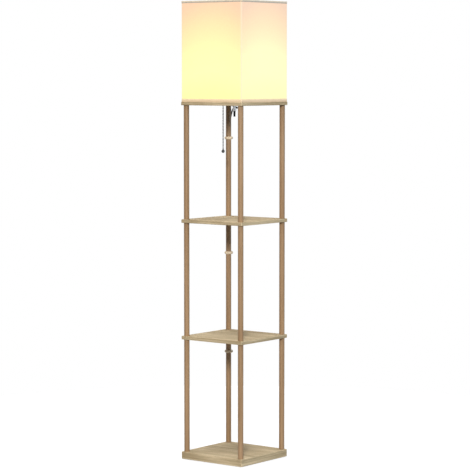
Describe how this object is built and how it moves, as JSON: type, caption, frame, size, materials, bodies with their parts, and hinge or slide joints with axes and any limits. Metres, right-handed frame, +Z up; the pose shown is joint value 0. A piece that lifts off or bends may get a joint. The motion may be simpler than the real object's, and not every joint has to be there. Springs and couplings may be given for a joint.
{
  "type": "shelf floor lamp",
  "caption": "Tall square floor lamp: posts carry a base, open shelves and a top board under a box-shaped fabric shade, with a pull chain below.",
  "frame": {"origin": "on the floor, under the middle of the base board", "axes": "+Z up, +X to the right and +Y to the back; the cord runs down the rear left corner (-X, +Y)"},
  "size_m": [0.2703, 0.3209, 1.59],
  "materials": {
    "oak_board": "satin light oak veneer",
    "post_wood": "satin brown stain on turned wood",
    "felt": "matte",
    "zinc": "zinc plated",
    "shade_fabric": "fine linen weave on a stiff liner",
    "hem_fabric": "folded linen binding",
    "white_wire": "white paint",
    "socket_metal": "satin",
    "phenolic": "moulded, glossy",
    "brass": "bright",
    "bulb_metal": "rolled thread",
    "bulb_insulation": "glossy",
    "bulb_plastic": "matte white",
    "opal_globe": "opal",
    "black_nylon": "matte",
    "chain_steel": "nickel plated beads",
    "dark_metal": "dark satin",
    "cord_pvc": "satin black PVC",
    "tie_rubber": "satin black soft PVC",
    "ring_wood": "pale satin wood"
  },
  "bodies": {
    "root": {"base_board": "oak_board", "lower_shelf": "oak_board", "upper_shelf": "oak_board", "top_board": "oak_board", "post_lower_front_left": "post_wood", "post_lower_front_right": "post_wood", "post_lower_rear_left": "post_wood", "post_lower_rear_right": "post_wood", "post_middle_front_left": "post_wood", "post_middle_front_right": "post_wood", "post_middle_rear_left": "post_wood", "post_middle_rear_right": "post_wood", "post_upper_front_left": "post_wood", "post_upper_front_right": "post_wood", "post_upper_rear_left": "post_wood", "post_upper_rear_right": "post_wood", "foot_pads": "felt", "base_bolts": "zinc", "bolt_washers": "zinc", "post_inserts": "zinc", "shelf_studs": "zinc", "top_bolts": "zinc", "lamp_nipple": "zinc", "nipple_nut": "zinc", "nipple_washer": "zinc", "cord_grip": "zinc", "shade_cover": "shade_fabric", "shade_bottom_trim": "hem_fabric", "shade_top_trim": "hem_fabric", "shade_bottom_frame": "white_wire", "shade_top_frame": "white_wire", "shade_corner_wires": "white_wire", "shade_fitter": "white_wire", "socket_cap": "socket_metal", "socket_shell": "socket_metal", "chain_nozzle": "socket_metal", "socket_insulator": "phenolic", "shade_ring": "phenolic", "screw_shell": "brass", "centre_contact": "brass", "plug_blades": "brass", "chain_bushing": "black_nylon", "grip_screw": "black_nylon", "grip_bung": "black_nylon", "strain_relief": "cord_pvc", "mains_cord": "cord_pvc", "cord_hank": "cord_pvc", "plug_body": "cord_pvc", "hank_tie": "tie_rubber", "cord_rings": "ring_wood"},
    "bulb": {"bulb_tip": "bulb_insulation", "bulb_cap": "bulb_metal", "bulb_housing": "bulb_plastic", "bulb_globe": "opal_globe"},
    "chain_pull": {"chain_upper": "chain_steel"},
    "chain_swing": {"chain_middle": "chain_steel"},
    "chain_end": {"chain_tail": "chain_steel", "chain_ball": "dark_metal"}
  },
  "joints": [
    {"name": "pull_switch", "type": "slide", "parent": "root", "child": "chain_pull", "axis": [0, 0, -1], "range_m": [0, 0.012], "stiffness_N_per_m": 500, "springref_m": -0.002},
    {"name": "chain_swing_hinge", "type": "hinge", "parent": "chain_pull", "child": "chain_swing", "pos_m": [-0.028, -0.028, 1.22865], "axis": [1, 0, 0], "range_deg": [-45, 45]},
    {"name": "chain_end_hinge", "type": "hinge", "parent": "chain_swing", "child": "chain_end", "pos_m": [-0.028, -0.028, 1.15725], "axis": [0, 1, 0], "range_deg": [-45, 45]},
    {"name": "bulb_out", "type": "slide", "parent": "root", "child": "bulb", "axis": [0, 0, 1], "range_m": [0, 0.024]}
  ]
}
